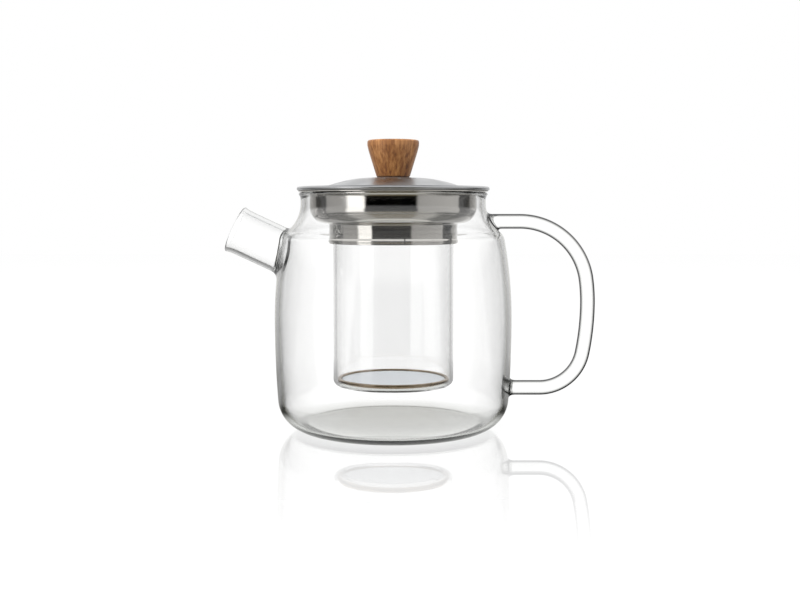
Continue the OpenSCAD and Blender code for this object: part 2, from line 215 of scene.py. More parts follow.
def turned_normals(obj, chains, holes=()):
    """Gives every face of a turned piece the exact normals of the chain it lies on.

    A face on no chain is a wall of one of the holes, each an (origin, axis) pair."""
    mesh = obj.data
    starts, ends, n_starts, n_ends, owner = [], [], [], [], []
    for c, chain in enumerate(chains):
        pts, normals = np.array(chain), chain_normals(chain)
        starts.append(pts[:-1])
        ends.append(pts[1:])
        n_starts.append(normals[:-1])
        n_ends.append(normals[1:])
        owner += [c] * (len(pts) - 1)
    starts, ends = np.concatenate(starts), np.concatenate(ends)
    n_starts, n_ends = np.concatenate(n_starts), np.concatenate(n_ends)
    owner = np.array(owner)
    span = ends - starts
    length2 = np.maximum((span**2).sum(1), 1e-12)

    def nearest(p, allowed):
        s = np.clip(((p - starts) * span).sum(1) / length2, 0, 1)
        d = np.linalg.norm(p - (starts + span * s[:, None]), axis=1)
        d[~allowed] = 1e9
        k = int(d.argmin())
        return k, s[k], d[k]

    every = np.ones(len(owner), bool)
    on_chain = 0.05
    custom = [None] * len(mesh.loops)
    known = {}
    for poly in mesh.polygons:
        c = poly.center / MM
        key = (round(math.hypot(c.x, c.y), 4), round(c.z, 4))
        if key not in known:
            k, _, d = nearest(np.array(key), every)
            known[key] = (owner[k], d)
        chain_id, d = known[key]
        for loop in poly.loop_indices:
            v = mesh.vertices[mesh.loops[loop].vertex_index].co / MM
            if d > on_chain and holes:
                best = None
                for origin, axis in holes:
                    out = (v - origin) - axis * (v - origin).dot(axis)
                    if best is None or out.length < best.length:
                        best = out
                custom[loop] = tuple(-best.normalized())
                continue
            vkey = (round(math.hypot(v.x, v.y), 4), round(v.z, 4), int(chain_id))
            if vkey not in known:
                k, s, _ = nearest(np.array(vkey[:2]), owner == chain_id)
                n = n_starts[k] * (1 - s) + n_ends[k] * s
                known[vkey] = n / np.linalg.norm(n)
            n = known[vkey]
            radius = vkey[0]
            if radius < 1e-3:
                custom[loop] = (0.0, 0.0, float(np.sign(n[1])) or 1.0)
            else:
                custom[loop] = (float(n[0] * v.x / radius), float(n[0] * v.y / radius), float(n[1]))
    mesh.polygons.foreach_set("use_smooth", [True] * len(mesh.polygons))
    mesh.normals_split_custom_set(custom)


def turned(name, chains, segments=FINE, cutters=(), holes=()):
    """A turned piece from chains of points that follow each other round its closed outline.

    Each chain is smooth and the corners between chains are sharp."""
    outline = joined(*chains)
    if math.dist(outline[0], outline[-1]) < 1e-5:
        outline.pop()
    turns = zip(outline, outline[1:] + outline[:1])
    if sum(p[0] * q[1] - q[0] * p[1] for p, q in turns) < 0:
        outline.reverse()
        chains = [chain[::-1] for chain in chains]
    obj = new_object(name, lathe_mesh(name, outline, segments))
    if cutters:
        cut(obj, cutters)
    turned_normals(obj, chains, holes)
    return obj


def straight(*points):
    """One chain for each side of a row of points, so that each corner is sharp."""
    return [[a, b] for a, b in zip(points[:-1], points[1:])]


def cylinder(name, r, length, matrix, segments=128):
    """A closed cylinder along local +Z from the origin, put in place by the matrix."""
    outline = [(0, 0), (r, 0), (r, length), (0, length)]
    mesh = lathe_mesh(name, outline, segments)
    obj = new_object(name, mesh)
    mesh.transform(scaled(matrix))
    return obj


def block(name, low, high, matrix=Matrix()):
    """A box between two corners, put in place by the matrix."""
    mesh = bpy.data.meshes.new(name)
    bm = bmesh.new()
    bmesh.ops.create_cube(bm, size=1)
    for v in bm.verts:
        v.co = Vector([MM * (low[i] if v.co[i] < 0 else high[i]) for i in range(3)])
    bm.to_mesh(mesh)
    bm.free()
    mesh.transform(scaled(matrix))
    return new_object(name, mesh)


def scaled(matrix):
    """A millimetre placement as one for metres."""
    m = matrix.copy()
    m.translation = matrix.translation * MM
    return m


def grid_mesh(name, rings, closed_rings=False, caps=False):
    """A skin over rings of points with the same count, closed along the row of rings or capped."""
    sides = len(rings[0])
    verts = [tuple(c * MM for c in p) for ring in rings for p in ring]
    faces = []
    rows = len(rings) if closed_rings else len(rings) - 1
    for i in range(rows):
        a, b = i * sides, ((i + 1) % len(rings)) * sides
        for j in range(sides):
            k = (j + 1) % sides
            faces.append((a + j, a + k, b + k, b + j))
    if caps:
        for base, flip in ((0, True), ((len(rings) - 1) * sides, False)):
            centre = len(verts)
            ring = rings[0] if flip else rings[-1]
            middle = sum((Vector(p) for p in ring), Vector()) / sides
            verts.append(tuple(middle * MM))
            for j in range(sides):
                k = (j + 1) % sides
                faces.append((base + k, base + j, centre) if flip else (base + j, base + k, centre))
    mesh = bpy.data.meshes.new(name)
    mesh.from_pydata(verts, [], faces)
    bm = bmesh.new()
    bm.from_mesh(mesh)
    bmesh.ops.recalc_face_normals(bm, faces=bm.faces)
    bm.to_mesh(mesh)
    bm.free()
    return mesh


# ---- Body's outside, for everything that meets it ----


def side(t, steps=1):
    """The body's side from base corner to neck, moved inwards by t, as one smooth chain.

    The inside starts half way up the corner, where make_body adds the curve down to the floor."""
    start = -90 if t == 0 else -45
    return joined(
        arc(BASE_R, CORNER_R, CORNER_R - t, start, LOW_ANGLE, 24 * steps),
        arc(LOW_SIDE_X, BELLY_Z, LOW_SIDE_R - t, LOW_ANGLE, 0, 10 * steps),
        arc(HIGH_SIDE_X, BELLY_Z, HIGH_SIDE_R - t, 0, HIGH_ANGLE, 16 * steps),
        arc(SHOULDER_X, SHOULDER_Z, SHOULDER_R - t, HIGH_ANGLE, HOLLOW_ANGLE, 20 * steps),
        arc(FILLET_X, FILLET_Z, NECK_FILLET_R + t, HOLLOW_ANGLE + 180, 180, 20 * steps),
    )


OUTSIDE = np.array(side(0, 4) + [(NECK_R, GLASS_H - LIP_H)])


def body_radius(z):
    """The body's outer radius at a height, with the gap that welded pieces keep."""
    return float(np.interp(z, OUTSIDE[:, 1], OUTSIDE[:, 0])) + GAP


def meet_body(start, direction):
    """Where a line from outside the body first meets its outer surface."""
    step, reach, halvings = 0.5, 60, 40
    low, high = 0.0, 0.0
    while True:
        high += step
        p = start + direction * high
        if math.hypot(p.x, p.y) <= body_radius(p.z) or high > reach:
            break
        low = high
    for _ in range(halvings):
        mid = (low + high) / 2
        p = start + direction * mid
        if math.hypot(p.x, p.y) <= body_radius(p.z):
            high = mid
        else:
            low = mid
    return start + direction * high


def bezier(p0, p1, p2, steps):
    """Points of a quadratic curve between vectors."""
    rows = []
    for i in range(steps + 1):
        t = i / steps
        rows.append(p0 * (1 - t) ** 2 + p1 * 2 * t * (1 - t) + p2 * t * t)
    return rows


def profile_curve(p0, p1, p2, steps):
    """Points of a quadratic curve between (radius, height) pairs."""
    return [
        (
            p0[0] * (1 - t) ** 2 + p1[0] * 2 * t * (1 - t) + p2[0] * t * t,
            p0[1] * (1 - t) ** 2 + p1[1] * 2 * t * (1 - t) + p2[1] * t * t,
        )
        for t in (i / steps for i in range(steps + 1))
    ]


# ---- Materials ----


def material(name, build):
    """A material whose nodes are made by build(tree, output)."""
    mat = bpy.data.materials.new(name)
    mat.use_nodes = True
    tree = mat.node_tree
    tree.nodes.clear()
    out = tree.nodes.new("ShaderNodeOutputMaterial")
    build(tree, out)
    return mat


def node(tree, kind, inputs=None, **settings):
    """A node with its inputs linked to sockets or set to values."""
    n = tree.nodes.new(kind)
    for key, value in settings.items():
        setattr(n, key, value)
    for key, value in (inputs or {}).items():
        if isinstance(value, bpy.types.NodeSocket):
            tree.links.new(value, n.inputs[key])
        else:
            n.inputs[key].default_value = value
    return n


def ramp(tree, fac, stops):
    """A colour for each value of fac, from (position, grey or RGB) stops."""
    n = node(tree, "ShaderNodeValToRGB", {"Fac": fac})
    n.color_ramp.interpolation = "LINEAR"
    elements = n.color_ramp.elements
    while len(elements) > 1:
        elements.remove(elements[-1])
    for i, (at, value) in enumerate(stops):
        e = elements[0] if i == 0 else elements.new(at)
        e.position = at
        e.color = (value, value, value, 1) if isinstance(value, float) else (*value, 1)
    return n.outputs["Color"]


def glass_look(absorb_color, density, edge):
    """Clear glass that tints with its thickness, with painted shade that darkens it to its edges, and lets
    lamp light through.
    """

    def build(tree, out):
        coords = node(tree, "ShaderNodeTexCoord")
        wave = node(
            tree,
            "ShaderNodeTexNoise",
            {"Vector": coords.outputs["Object"], "Scale": 24.0, "Detail": 1.0},
        )
        bump = node(
            tree,
            "ShaderNodeBump",
            {"Height": wave.outputs["Fac"], "Strength": 0.25, "Distance": 0.0002},
        )
        slant = node(tree, "ShaderNodeLayerWeight", {"Blend": 0.5})
        # Painted shade: the base colour darkens where the glass is seen edge on
        tint = ramp(tree, slant.outputs["Facing"], edge)
        shader = node(
            tree,
            "ShaderNodeBsdfPrincipled",
            {
                "Base Color": tint,
                "Roughness": 0.0,
                "IOR": 1.47,
                "Transmission Weight": 1.0,
                "Normal": bump.outputs["Normal"],
            },
        )
        path = node(tree, "ShaderNodeLightPath")
        clear = node(tree, "ShaderNodeBsdfTransparent", {"Color": (0.93, 0.94, 0.935, 1)})
        through = node(
            tree,
            "ShaderNodeMath",
            {0: path.outputs["Is Shadow Ray"], 1: path.outputs["Is Diffuse Ray"]},
            operation="MAXIMUM",
        )
        mix = node(
            tree,
            "ShaderNodeMixShader",
            {0: through.outputs[0], 1: shader.outputs[0], 2: clear.outputs[0]},
        )
        volume = node(
            tree, "ShaderNodeVolumeAbsorption", {"Color": (*absorb_color, 1), "Density": density}
        )
        tree.links.new(mix.outputs[0], out.inputs["Surface"])
        tree.links.new(volume.outputs[0], out.inputs["Volume"])

    return build


def steel_look(color, roughness, grain_scale, grain, circular=True, metallic=1.0):
    """Steel with faint turned or rolled lines."""

    def build(tree, out):
        coords = node(tree, "ShaderNodeTexCoord")
        split = node(tree, "ShaderNodeSeparateXYZ", {0: coords.outputs["Object"]})
        flat = node(
            tree, "ShaderNodeCombineXYZ", {0: split.outputs[0], 1: split.outputs[1], 2: 0.0}
        )
        radius = node(tree, "ShaderNodeVectorMath", {0: flat.outputs[0]}, operation="LENGTH")
        lines = node(
            tree, "ShaderNodeCombineXYZ", {0: radius.outputs["Value"], 1: 0.0, 2: split.outputs[2]}
        )
        source = lines.outputs[0] if circular else coords.outputs["Object"]
        fine = node(
            tree,
            "ShaderNodeTexNoise",
            {"Vector": source, "Scale": grain_scale, "Detail": 4.0, "Roughness": 0.6},
        )
        broad = node(
            tree,
            "ShaderNodeTexNoise",
            {"Vector": coords.outputs["Object"], "Scale": 90.0, "Detail": 3.0},
        )
        rough = node(
            tree,
            "ShaderNodeMapRange",
            {0: broad.outputs["Fac"], 1: 0.3, 2: 0.7, 3: roughness * 0.8, 4: roughness * 1.25},
        )
        bump = node(
            tree,
            "ShaderNodeBump",
            {"Height": fine.outputs["Fac"], "Strength": grain, "Distance": 0.00002},
        )
        shader = node(
            tree,
            "ShaderNodeBsdfPrincipled",
            {
                "Base Color": (*color, 1),
                "Metallic": metallic,
                "Roughness": rough.outputs[0],
                "Normal": bump.outputs["Normal"],
            },
        )
        tree.links.new(shader.outputs[0], out.inputs["Surface"])

    return build


def beech_look(tree, out):
    """Oiled beech with upright streaks, broad bands and fine pores."""
    coords = node(tree, "ShaderNodeTexCoord")
    long_grain = node(
        tree, "ShaderNodeMapping", {"Vector": coords.outputs["Object"], "Scale": (1.0, 1.0, 0.07)}
    )
    streaks = node(
        tree,
        "ShaderNodeTexNoise",
        {"Vector": long_grain.outputs[0], "Scale": 900.0, "Detail": 6.0, "Roughness": 0.62},
    )
    bands = node(
        tree,
        "ShaderNodeTexNoise",
        {"Vector": long_grain.outputs[0], "Scale": 210.0, "Detail": 3.0, "Distortion": 0.4},
    )
    pores = node(
        tree,
        "ShaderNodeTexVoronoi",
        {"Vector": long_grain.outputs[0], "Scale": 1500.0, "Randomness": 1.0},
    )
    wood = ramp(
        tree,
        streaks.outputs["Fac"],
        [
            (0.30, (0.130, 0.046, 0.012)),
            (0.44, (0.330, 0.134, 0.038)),
            (0.58, (0.470, 0.215, 0.070)),
            (0.74, (0.590, 0.305, 0.118)),
        ],
    )
    tint = ramp(tree, bands.outputs["Fac"], [(0.38, (0.66, 0.58, 0.52)), (0.60, (1.0, 1.0, 1.0))])
    mixed = node(
        tree,
        "ShaderNodeMix",
        {0: 0.85, 6: wood, 7: tint},
        data_type="RGBA",
        blend_type="MULTIPLY",
    )
    pits = ramp(tree, pores.outputs["Distance"], [(0.10, (0.35, 0.27, 0.22)), (0.26, (1.0, 1.0, 1.0))])
    color = node(
        tree,
        "ShaderNodeMix",
        {0: 0.6, 6: mixed.outputs[2], 7: pits},
        data_type="RGBA",
        blend_type="MULTIPLY",
    )
    rough = node(
        tree, "ShaderNodeMapRange", {0: streaks.outputs["Fac"], 1: 0.3, 2: 0.7, 3: 0.52, 4: 0.38}
    )
    bump = node(
        tree, "ShaderNodeBump", {"Height": pits, "Strength": 0.35, "Distance": 0.00006}
    )
    shader = node(
        tree,
        "ShaderNodeBsdfPrincipled",
        {
            "Base Color": color.outputs[2],
            "Roughness": rough.outputs[0],
            "Coat Weight": 0.12,
            "Coat Roughness": 0.3,
            "Normal": bump.outputs["Normal"],
        },
    )
    tree.links.new(shader.outputs[0], out.inputs["Surface"])


def silicone_look(color, transmission, roughness):
    """Silicone with a fine satin grain."""

    def build(tree, out):
        coords = node(tree, "ShaderNodeTexCoord")
        grain = node(
            tree,
            "ShaderNodeTexNoise",
            {"Vector": coords.outputs["Object"], "Scale": 1200.0, "Detail": 2.0},
        )
        bump = node(
            tree,
            "ShaderNodeBump",
            {"Height": grain.outputs["Fac"], "Strength": 0.2, "Distance": 0.00002},
        )
        shade = ramp(
            tree,
            grain.outputs["Fac"],
            [(0.3, tuple(c * 0.9 for c in color)), (0.7, color)],
        )
        shader = node(
            tree,
            "ShaderNodeBsdfPrincipled",
            {
                "Base Color": shade,
                "Roughness": roughness,
                "IOR": 1.41,
                "Transmission Weight": transmission,
                "Normal": bump.outputs["Normal"],
            },
        )
        tree.links.new(shader.outputs[0], out.inputs["Surface"])

    return build


# Painted shade at the glass's edges: tint by how much the glass is seen edge on, from 0 where it faces the
# eye to 1
POT_PAINTED_EDGE_SHADE = [
    (0.2, 1.0),
    (0.42, 0.965),
    (0.60, 0.90),
    (0.71, 0.80),
    (0.77, 0.45),
    (0.86, (0.20, 0.195, 0.16)),
    (1.0, (0.06, 0.058, 0.04)),
]
ROD_PAINTED_EDGE_SHADE = [(0.12, 1.0), (0.24, 0.72), (0.34, 0.22), (0.42, 0.03), (0.55, 0.0), (1.0, 0.0)]
TUBE_PAINTED_EDGE_SHADE = [(0.7, 1.0), (0.9, 0.9), (1.0, 0.4)]
pot_glass = material("pot_glass", glass_look((0.46, 0.48, 0.42), 14.0, POT_PAINTED_EDGE_SHADE))
rod_glass = material("rod_glass", glass_look((0.42, 0.47, 0.34), 14.0, ROD_PAINTED_EDGE_SHADE))
tube_glass = material("tube_glass", glass_look((0.5, 0.5, 0.5), 8.0, TUBE_PAINTED_EDGE_SHADE))
polished_steel = material("polished_steel", steel_look((0.64, 0.62, 0.585), 0.05, 3200.0, 0.08))
lid_steel = material("lid_steel", steel_look((0.53, 0.535, 0.54), 0.34, 3600.0, 0.16))
ring_steel = material("ring_steel", steel_look((0.32, 0.24, 0.16), 0.22, 3000.0, 0.15))
mesh_steel = material("mesh_steel", steel_look((0.86, 0.86, 0.91), 0.4, 2600.0, 0.1, False, 0.1))
screw_steel = material("screw_steel", steel_look((0.62, 0.61, 0.6), 0.22, 2400.0, 0.2))
insert_brass = material("insert_brass", steel_look((0.78, 0.58, 0.26), 0.24, 2400.0, 0.2))
beech = material("beech", beech_look)
clear_silicone = material("clear_silicone", silicone_look((0.86, 0.86, 0.84), 0.65, 0.38))
dark_silicone = material("dark_silicone", silicone_look((0.05, 0.035, 0.03), 0.0, 0.55))


def place(obj, mat, body, nodes):
    """Gives a piece its material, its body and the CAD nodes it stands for."""
    obj.data.materials.clear()
    obj.data.materials.append(mat)
    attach(obj, body)
    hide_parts(*nodes)


# ---- Pot ----

SPOUT_TURN = Matrix.Rotation(math.radians(90 + SPOUT_ANGLE), 4, "Y")
SPOUT_FRAME = Matrix.Translation(SPOUT_MOUTH) @ SPOUT_TURN
SPOUT_AXIS = (SPOUT_TURN @ Vector((0, 0, 1))).normalized()


def make_body():
    """The vessel, with rounded lip and inner base corner, and the hole into the spout."""
    lip_r = WALL_T / 2
    flare_h, flare_bend = 3.6, 1.6
    flare_z = GLASS_H - flare_h
    corner_in = (CORNER_R - WALL_T) * math.sqrt(0.5)
    floor_curve = 4
    floor_bend_r = BASE_R + 2 * corner_in - CORNER_R + BASE_T
    outer = joined(
        [(0, 0), (BASE_R / 2, 0)],
        side(0),
        [(NECK_R, (FILLET_Z + flare_z) / 2), (NECK_R, flare_z)],
        profile_curve((NECK_R, flare_z), (NECK_R, flare_z + flare_bend), (LIP_R, GLASS_H - lip_r), 10),
        arc(LIP_R - lip_r, GLASS_H - lip_r, lip_r, 0, 180, 14),
        profile_curve(
            (LIP_R - WALL_T, GLASS_H - lip_r),
            (NECK_BORE_R, flare_z + flare_bend),
            (NECK_BORE_R, flare_z),
            10,
        ),
        [(NECK_BORE_R, (FILLET_Z + flare_z) / 2)],
        list(reversed(side(WALL_T))),
        profile_curve(
            (BASE_R + corner_in, CORNER_R - corner_in),
            (floor_bend_r, BASE_T),
            (floor_bend_r - floor_curve, BASE_T),
            10,
        ),
        [(BASE_R / 2, BASE_T), (0, BASE_T)],
    )
    lead, reach = 5, 40.0
    start = SPOUT_FRAME @ Matrix.Translation((0, 0, -lead))
    bore = cylinder("spout_bore", SPOUT_BORE_R, reach, start, 160)
    obj = turned("pot_body", [outer], 320, [bore], [(SPOUT_MOUTH, SPOUT_AXIS)])
    place(obj, pot_glass, "pot", ["glass_body"])


def make_spout():
    """The tube's outline at each angle round its own axis, from lip to root and back up the bore."""
    sides = 160
    across = (SPOUT_TURN @ Vector((1, 0, 0))).normalized()
    sideways = Vector((0, 1, 0))
    lip_t = (SPOUT_R - SPOUT_BORE_R) / 2
    plain = SPOUT_FLARE_LEN + 2
    flare_bend = 2.4
    columns = []
    for j in range(sides):
        u = 2 * math.pi * j / sides
        out = across * math.cos(u) + sideways * math.sin(u)
        up = out.z / max(abs(across.z), 1e-6)
        weld = SPOUT_WELD - SPOUT_WELD_LEAN * up

        def at(r, z):
            return SPOUT_MOUTH + out * r + SPOUT_AXIS * z

        root = meet_body(at(SPOUT_R, 0), SPOUT_AXIS)
        toe = meet_body(at(SPOUT_R + weld, 0), SPOUT_AXIS)
        bore_end = meet_body(at(SPOUT_BORE_R, 0), SPOUT_AXIS)
        depth = (root - at(SPOUT_R, 0)).length
        bore_depth = (bore_end - at(SPOUT_BORE_R, 0)).length
        column = [at(r, z) for r, z in arc(SPOUT_R + SPOUT_FLARE - lip_t, lip_t, lip_t, 180, 360, 10)]
        column += [
            at(r, z)
            for r, z in profile_curve(
                (SPOUT_R + SPOUT_FLARE, lip_t), (SPOUT_R, flare_bend), (SPOUT_R, plain), 6
            )[1:]
        ]
        free = depth - weld * 1.2
        column += [at(SPOUT_R, plain + (free - plain) * k / 6) for k in range(1, 6)]
        column += bezier(at(SPOUT_R, free), root, toe, 10)
        column += [meet_body(at(SPOUT_R + weld * (1 - k / 3), 0), SPOUT_AXIS) for k in range(1, 3)]
        column += [root, bore_end]
        column += [at(SPOUT_BORE_R, bore_depth + (plain - bore_depth) * k / 7) for k in range(1, 8)]
        column += [
            at(r, z)
            for r, z in profile_curve(
                (SPOUT_BORE_R, plain),
                (SPOUT_BORE_R, flare_bend),
                (SPOUT_BORE_R + SPOUT_FLARE, lip_t),
                6,
            )[1:-1]
        ]
        columns.append(column)
    obj = new_object("pot_spout", grid_mesh("pot_spout", columns, closed_rings=True))
    smooth_by_angle(obj, 40)
    place(obj, pot_glass, "pot", ["spout"])


def rod_ring(x, z, r, t, sides):
    """The rod's outline round (x, z), where t is the angle of its outer side above +X."""
    t = math.radians(t)
    ring = []
    for i in range(sides):
        u = 2 * math.pi * i / sides
        across = r * math.cos(u)
        ring.append(Vector((x + across * math.cos(t), r * math.sin(u), z + across * math.sin(t))))
    return ring


def rod_bend(x, z, r, a, b, steps, sides):
    """Rings of the rod along an arc about (x, z), from angle a to angle b in degrees."""
    rings = []
    for i in range(steps + 1):
        t = a + (b - a) * i / steps
        c, n = math.cos(math.radians(t)), math.sin(math.radians(t))
        rings.append(rod_ring(x + r * c, z + r * n, ROD_R, t, sides))
    return rings


def rod_foot(z, t, weld, sides):
    """Rings of a welded foot, from its face on the body outwards to the plain rod."""
    inwards = Vector((-1, 0, 0))
    outside_x = 75
    rings = []
    for share in (0.15, 0.4, 0.65, 0.85):
        face = rod_ring(outside_x, z, (ROD_R + weld) * share, t, sides)
        rings.append([meet_body(p, inwards) for p in face])
    roots = [meet_body(p, inwards) for p in rod_ring(outside_x, z, ROD_R, t, sides)]
    toes = [meet_body(p, inwards) for p in rod_ring(outside_x, z, ROD_R + weld, t, sides)]
    steps = 9
    rows = [bezier(toe, root, root - inwards * weld * 1.3, steps) for toe, root in zip(toes, roots)]
    rings += [[row[k] for row in rows] for k in range(steps + 1)]
    return rings


def make_handle():
    """The rod, from its upper foot round two bends and two gentle grip arcs to its lower foot."""
    sides = 64
    upper_angle = math.degrees(
        math.asin((HANDLE_TOP_Z - HANDLE_MID_Z - UPPER_BEND_R) / (UPPER_GRIP_R - UPPER_BEND_R))
    )
    lower_angle = math.degrees(
        math.asin((HANDLE_MID_Z - HANDLE_LOW_Z - LOWER_BEND_R) / (LOWER_GRIP_R - LOWER_BEND_R))
    )
    grip_x, low_grip_x = HANDLE_REACH - UPPER_GRIP_R, HANDLE_REACH - LOWER_GRIP_R
    upper_x = grip_x + (UPPER_GRIP_R - UPPER_BEND_R) * math.cos(math.radians(upper_angle))
    lower_x = low_grip_x + (LOWER_GRIP_R - LOWER_BEND_R) * math.cos(math.radians(lower_angle))
    rings = rod_foot(HANDLE_TOP_Z, 90, HANDLE_TOP_WELD, sides)
    rings += rod_bend(upper_x, HANDLE_TOP_Z - UPPER_BEND_R, UPPER_BEND_R, 90, upper_angle, 40, sides)
    rings += rod_bend(grip_x, HANDLE_MID_Z, UPPER_GRIP_R, upper_angle, 0, 8, sides)[1:]
    rings += rod_bend(low_grip_x, HANDLE_MID_Z, LOWER_GRIP_R, 0, -lower_angle, 12, sides)[1:]
    rings += rod_bend(lower_x, HANDLE_LOW_Z + LOWER_BEND_R, LOWER_BEND_R, -lower_angle, -90, 32, sides)[1:]
    rings += list(reversed(rod_foot(HANDLE_LOW_Z, -90, HANDLE_LOW_WELD, sides)))
    obj = new_object("pot_handle", grid_mesh("pot_handle", rings, caps=True))
    smooth_by_angle(obj, 60)
    place(obj, rod_glass, "pot", ["handle"])


# ---- Infuser ----


def make_collar():
    root_x, root_z = BOWL_R + FLANGE_ROOT_R, FLANGE_Z - FLANGE_ROOT_R
    edge = COLLAR_T / 2
    fold = 0.8
    bead = [
        (SKIRT_R + BEAD_T * math.sin(math.pi * k / 14), BEAD_Z + BEAD_H / 2 - BEAD_H * k / 14)
        for k in range(15)
    ]
    chain = joined(
        arc(FLANGE_R - edge, FLANGE_Z + edge, edge, 90, -90, 10),
        arc(root_x, root_z, FLANGE_ROOT_R, 90, 180, 16),
        arc(BOWL_BEND_X, BOWL_BEND_Z, BOWL_BEND_R, 0, -90, 32),
        arc(SKIRT_R + fold, BOWL_BASE_Z - fold, fold, 90, 180, 8),
        bead,
        arc(SKIRT_R - edge, SKIRT_BASE_Z + edge, edge, 0, -180, 10),
        arc(SKIRT_BORE_R + fold + COLLAR_T, SHELF_Z - fold - COLLAR_T, fold + COLLAR_T, 180, 90, 8),
        arc(BOWL_BEND_X, BOWL_BEND_Z, BOWL_BEND_R - COLLAR_T, -90, 0, 32),
        arc(root_x, root_z, FLANGE_ROOT_R + COLLAR_T, 180, 90, 16),
        [(FLANGE_R - edge, FLANGE_Z + COLLAR_T)],
    )
    turn = Matrix.Rotation(math.radians(NOTCH_TURN), 4, "Z")
    half, deep = NOTCH_W / 2, SKIRT_R + BEAD_T
    notch = block("notch", (-half, -deep - 1, BEAD_Z - 1.5), (half, -deep + 0.6, BEAD_Z + 1.5), turn)
    axis = turn.to_3x3() @ Vector((0, -1, 0))
    obj = turned("collar", [chain], 320, [notch], [(axis * (deep + 20), axis)])
    place(obj, polished_steel, "infuser", ["infuser_collar"])


def make_gasket():
    slack = 0.03
    low, inner, outer = SKIRT_BASE_Z + 0.4, TUBE_R + slack, SKIRT_BORE_R - slack
    turn = 1.4
    chains = straight(
        (inner, low),
        (outer, low),
        (outer, SHELF_Z + slack - turn),
    )
    chains += [arc(outer + turn, SHELF_Z + slack - turn, turn, 180, 90, 8)]
    chains += straight(
        (outer + turn, SHELF_Z + slack),
        (BOWL_BEND_X, SHELF_Z + slack),
        (BOWL_BEND_X, TUBE_RIM_Z - slack),
        (inner, TUBE_RIM_Z - slack),
        (inner, low),
    )
    obj = turned("tube_sleeve", chains, 192)
    place(obj, clear_silicone, "infuser", ["tube_gasket"])


def make_tube():
    ledge_r = TUBE_BORE_R - TUBE_LEDGE
    turn_x, turn_z = TUBE_R - TUBE_TURN_R, TUBE_BASE_Z + TUBE_TURN_R
    rim_top = TUBE_RIM_Z + TUBE_RIM_H
    chain = joined(
        arc(ledge_r + TUBE_T / 2, TUBE_BASE_Z + TUBE_T / 2, TUBE_T / 2, 90, 270, 14),
        arc(turn_x, turn_z, TUBE_TURN_R, -90, 0, 16),
        [(TUBE_R, 40), (TUBE_R, 60), (TUBE_R, 80)],
        arc(TUBE_R + 0.6, TUBE_RIM_Z - 0.6, 0.6, 180, 90, 6),
        arc(TUBE_RIM_R - 0.5, TUBE_RIM_Z + 0.5, 0.5, -90, 0, 6),
        arc(TUBE_RIM_R - 0.9, rim_top - 0.9, 0.9, 0, 90, 8),
        arc(TUBE_BORE_R + 0.9, rim_top - 0.9, 0.9, 90, 180, 8),
        [(TUBE_BORE_R, 80), (TUBE_BORE_R, 60), (TUBE_BORE_R, 40)],
        arc(turn_x, turn_z, TUBE_TURN_R - TUBE_T, 0, -90, 12),
    )
    obj = turned("tube", [chain], 256)
    place(obj, tube_glass, "infuser", ["infuser_glass"])


def make_mesh_ring():
    edge, turn = 0.3, 1.2
    low, high = MESH_RING_Z, MESH_RING_Z + MESH_RING_H
    chain = joined(
        arc(MESH_RING_BORE_R + edge, low + edge, edge, 180, 270, 6),
        arc(MESH_RING_R - turn, low + turn, turn, -90, 0, 12),
        arc(MESH_RING_R - edge, high - edge, edge, 0, 90, 6),
        arc(MESH_RING_BORE_R + edge, high - edge, edge, 90, 180, 6),
    )
    obj = turned("mesh_rim", [chain], 256)
    place(obj, ring_steel, "filter", ["mesh_ring"])


def make_mesh():
    """Two sets of wires that pass over and under each other."""
    hold = 0.8
    reach = MESH_RING_BORE_R + hold
    rows = int(reach / MESH_PITCH)
    sides = 5
    verts, faces = [], []
    for direction in (0, 1):
        for row in range(-rows, rows + 1):
            off = row * MESH_PITCH
            half = math.sqrt(max(reach * reach - off * off, 0.0))
            steps = int(2 * half / MESH_PITCH)
            if steps < 2:
                continue
            base = len(verts)
            points = []
            for k in range(-steps, steps + 1):
                along = k * MESH_PITCH / 2
                sign = 1 if (row + direction) % 2 == 0 else -1
                height = sign * WIRE_R * math.cos(math.pi * along / MESH_PITCH)
                slope = -sign * WIRE_R * math.pi / MESH_PITCH * math.sin(math.pi * along / MESH_PITCH)
                points.append((along, height, slope))
            for along, height, slope in points:
                size = math.hypot(1, slope)
                for i in range(sides):
                    u = 2 * math.pi * i / sides
                    a = along - WIRE_R * math.sin(u) * slope / size
                    z = MESH_Z + height + WIRE_R * math.sin(u) / size
                    b = off + WIRE_R * math.cos(u)
                    p = (a, b, z) if direction == 0 else (b, a, z)
                    verts.append(tuple(c * MM for c in p))
            count = len(points)
            for k in range(count - 1):
                for i in range(sides):
                    j = (i + 1) % sides
                    p, q = base + k * sides, base + (k + 1) * sides
                    face = (p + i, q + i, q + j, p + j)
                    faces.append(face if direction == 0 else face[::-1])
            for p, flip in ((base, False), (base + (count - 1) * sides, True)):
                cap = tuple(p + i for i in range(sides))
                faces.append(cap[::-1] if flip != (direction == 1) else cap)
    mesh = bpy.data.meshes.new("mesh_weave")
    mesh.from_pydata(verts, [], faces)
    obj = new_object("mesh_weave", mesh)
    smooth_by_angle(obj, 75)
    place(obj, mesh_steel, "filter", ["mesh_disc"])


# ---- Lid ----


